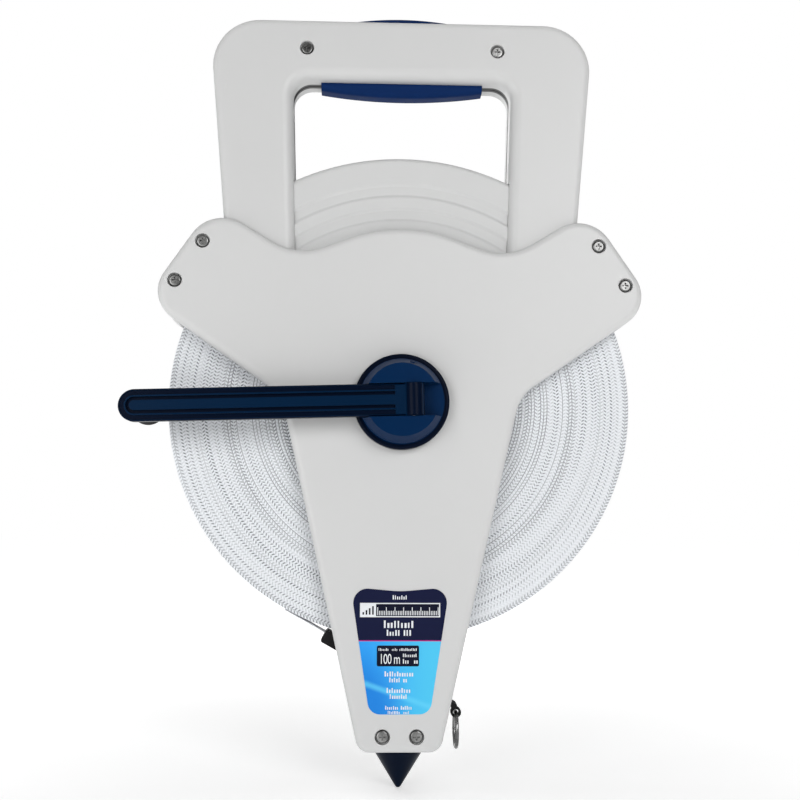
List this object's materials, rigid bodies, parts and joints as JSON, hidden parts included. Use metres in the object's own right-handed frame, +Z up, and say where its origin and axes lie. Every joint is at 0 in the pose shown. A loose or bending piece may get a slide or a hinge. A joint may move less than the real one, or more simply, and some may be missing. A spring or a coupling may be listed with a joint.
{
  "type": "surveyor tape reel",
  "caption": "Open long-tape reel: wound tape between two Y-shaped plates, carrying handle, fold-out crank, end ring and ground spike.",
  "frame": {"origin": "tip of the ground spike, in the middle of the tape's width", "axes": "+Z up through the reel axis to the handle; the crank side faces -Y; +X to the right seen from the crank side"},
  "size_m": [0.2976, 0.0613, 0.453],
  "materials": {
    "light_shell": "satin moulded",
    "navy_plastic": "satin moulded",
    "dark_navy_plastic": "satin moulded",
    "navy_grip": "soft matt",
    "black_plastic": "matt moulded",
    "tape": "coated woven fibreglass",
    "white_plastic": "satin moulded",
    "acetal": "smooth",
    "steel": "zinc plated",
    "label_print": "printed film"
  },
  "bodies": {
    "frame": {"front_plate": "light_shell", "rear_plate": "light_shell", "handle_front": "light_shell", "handle_rear": "light_shell", "handle_grip": "navy_grip", "tape_guard": "light_shell", "ground_spike": "navy_plastic", "front_bush": "acetal", "rear_bush": "acetal", "tape_mouth": "black_plastic", "mouth_pins": "steel", "tape_leader": "tape", "leader_clip": "black_plastic", "label": "label_print", "ear_screws": "steel", "foot_screws": "steel", "handle_screws": "steel"},
    "reel": {"drum": "white_plastic", "tape_coil": "tape", "thrust_washers": "acetal", "crank_hub": "navy_plastic", "crank_pin": "steel", "rear_cap": "navy_plastic", "axle_bolt": "steel", "axle_nut": "steel", "cap_plug": "navy_plastic"},
    "crank": {"crank_arm": "dark_navy_plastic", "knob_screw": "steel"},
    "knob": {"crank_knob": "black_plastic"},
    "ring": {"end_ring": "steel"}
  },
  "joints": [
    {"name": "reel_spin", "type": "hinge", "parent": "frame", "child": "reel", "pos_m": [0, 0, 0.2181], "axis": [0, -1, 0], "continuous": true},
    {"name": "crank_fold", "type": "hinge", "parent": "reel", "child": "crank", "pos_m": [0.0067, -0.0355, 0.21831], "axis": [-0.0314, 0, 0.9995], "range_deg": [0, 180]},
    {"name": "knob_spin", "type": "hinge", "parent": "crank", "child": "knob", "pos_m": [-0.14293, -0.0268, 0.21361], "axis": [0, -1, 0], "continuous": true},
    {"name": "ring_swing", "type": "hinge", "parent": "frame", "child": "ring", "pos_m": [0.03296, 0, 0.04188], "axis": [0, 1, 0], "range_deg": [-110, 12]}
  ]
}
